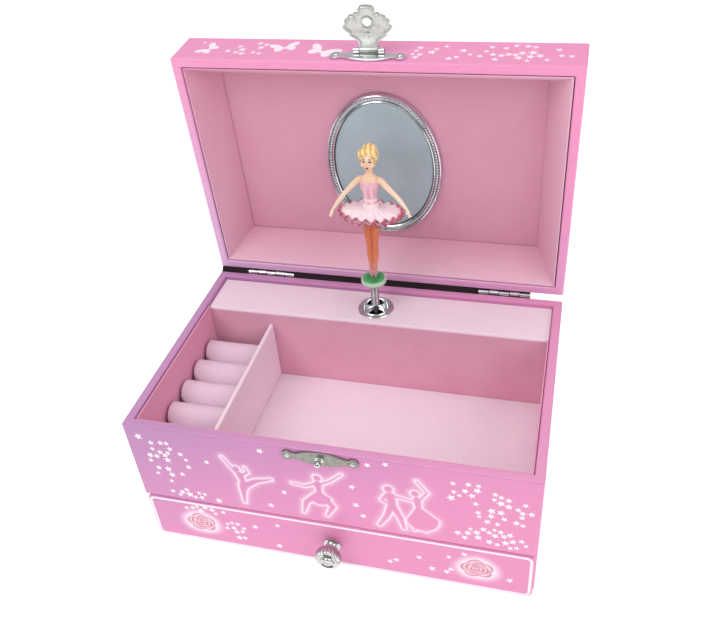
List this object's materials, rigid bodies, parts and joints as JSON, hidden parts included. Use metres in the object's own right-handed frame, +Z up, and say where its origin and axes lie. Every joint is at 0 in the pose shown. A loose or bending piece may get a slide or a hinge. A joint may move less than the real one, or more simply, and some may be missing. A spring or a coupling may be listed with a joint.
{
  "type": "musical jewellery box",
  "caption": "Paper-covered musical jewellery box with a hinged mirror lid, a drawer, ring rolls and a dancer turning on a spring above a wind-up movement.",
  "frame": {"origin": "centre of the case's flat bottom face", "axes": "+X to the right along the front, +Y to the back, +Z up; the drawer's knob is on the -Y side and the lid is open at rest"},
  "size_m": [0.19, 0.161, 0.2285],
  "materials": {
    "paper_wrap": "printed paper glued over fibreboard, satin",
    "bare_board": "plain fibreboard",
    "flock_lining": "short pink flock on card",
    "pale_flock": "short pale pink flock on card",
    "padded_flock": "pale pink flock over foam",
    "chrome_fittings": "bright plated",
    "steel_parts": "bright steel",
    "spring_wire": "close-wound bright wire",
    "brass_parts": "satin brass",
    "mirror_glass": "silvered glass",
    "green_plastic": "glossy",
    "dancer_plastic": "painted moulding",
    "tutu_plastic": "thin soft moulding with a painted hem"
  },
  "bodies": {
    "root": {"base_left": "paper_wrap", "base_right": "paper_wrap", "base_back": "paper_wrap", "base_front": "paper_wrap", "base_bottom": "bare_board", "compartment_floor": "bare_board", "lining_left": "flock_lining", "lining_right": "flock_lining", "lining_front": "flock_lining", "lining_floor": "pale_flock", "shelf_top": "pale_flock", "shelf_front": "flock_lining", "divider": "pale_flock", "ring_roll_1": "padded_flock", "ring_roll_2": "padded_flock", "ring_roll_3": "padded_flock", "ring_roll_4": "padded_flock", "ring_roll_5": "padded_flock", "spindle_grommet": "chrome_fittings", "catch_plate": "chrome_fittings", "catch_stud": "chrome_fittings", "hinge_left_base_leaf": "chrome_fittings", "hinge_right_base_leaf": "chrome_fittings", "hinge_left_pin": "steel_parts", "hinge_right_pin": "steel_parts", "movement_frame": "brass_parts", "melody_comb": "steel_parts"},
    "lid": {"lid_left": "paper_wrap", "lid_right": "paper_wrap", "lid_front": "paper_wrap", "lid_rear": "paper_wrap", "lid_top": "paper_wrap", "lid_lining_walls": "flock_lining", "lid_lining_panel": "flock_lining", "mirror_glass": "mirror_glass", "mirror_frame": "chrome_fittings", "hinge_left_lid_leaf": "chrome_fittings", "hinge_right_lid_leaf": "chrome_fittings", "hasp_base": "chrome_fittings", "hasp_pin": "steel_parts"},
    "hasp": {"hasp_plate": "chrome_fittings"},
    "drawer": {"drawer_front": "paper_wrap", "drawer_left": "flock_lining", "drawer_right": "flock_lining", "drawer_back": "flock_lining", "drawer_floor": "pale_flock", "drawer_knob": "chrome_fittings"},
    "spindle": {"drive_spindle": "steel_parts"},
    "spring": {"dancer_spring": "spring_wire"},
    "dancer": {"dancer_disc": "green_plastic", "dancer_body": "dancer_plastic", "dancer_tutu": "tutu_plastic"},
    "cylinder": {"melody_cylinder": "brass_parts"},
    "winder": {"spring_barrel": "brass_parts", "mainspring": "steel_parts", "winding_arbor": "steel_parts", "winding_key": "chrome_fittings"},
    "governor": {"governor": "steel_parts"}
  },
  "joints": [
    {"name": "lid_hinge", "type": "hinge", "parent": "root", "child": "lid", "pos_m": [0, 0.0637, 0.08025], "axis": [1, 0, 0], "range_deg": [0, 86]},
    {"name": "hasp_hinge", "type": "hinge", "parent": "lid", "child": "hasp", "pos_m": [0, 0.06322, 0.20823], "axis": [1, 0, 0], "range_deg": [-88, 90]},
    {"name": "drawer_slide", "type": "slide", "parent": "root", "child": "drawer", "axis": [0, -1, 0], "range_m": [0, 0.085]},
    {"name": "cylinder_turn", "type": "hinge", "parent": "root", "child": "cylinder", "pos_m": [0.022, 0.044, 0.04999], "axis": [1, 0, 0], "continuous": true},
    {"name": "winder_turn", "type": "hinge", "parent": "root", "child": "winder", "pos_m": [-0.01948, 0.05, 0.04999], "axis": [0, 1, 0], "continuous": true},
    {"name": "spindle_turn", "type": "hinge", "parent": "root", "child": "spindle", "pos_m": [0, 0.044, 0.07], "axis": [0, 0, 1], "continuous": true},
    {"name": "governor_turn", "type": "hinge", "parent": "root", "child": "governor", "pos_m": [0.0361, 0.0515, 0.05], "axis": [0, 0, 1], "continuous": true},
    {"name": "spring_fold", "type": "hinge", "parent": "root", "child": "spring", "pos_m": [0, 0.044, 0.0884], "axis": [1, 0, 0], "range_deg": [0, 104], "deforming": ["dancer_spring"]},
    {"name": "dancer_turn", "type": "hinge", "parent": "spring", "child": "dancer", "pos_m": [0, 0.044, 0.0954], "axis": [0, 0, 1], "continuous": true}
  ],
  "couplings": [
    {"joint": "winder_turn", "follows": "cylinder_turn", "ratio": -0.22222},
    {"joint": "spindle_turn", "follows": "cylinder_turn", "ratio": -0.90909},
    {"joint": "dancer_turn", "follows": "cylinder_turn", "ratio": -0.90909},
    {"joint": "governor_turn", "follows": "cylinder_turn", "ratio": 20},
    {"joint": "spring_fold", "follows": "lid_hinge", "ratio": 1.209}
  ]
}
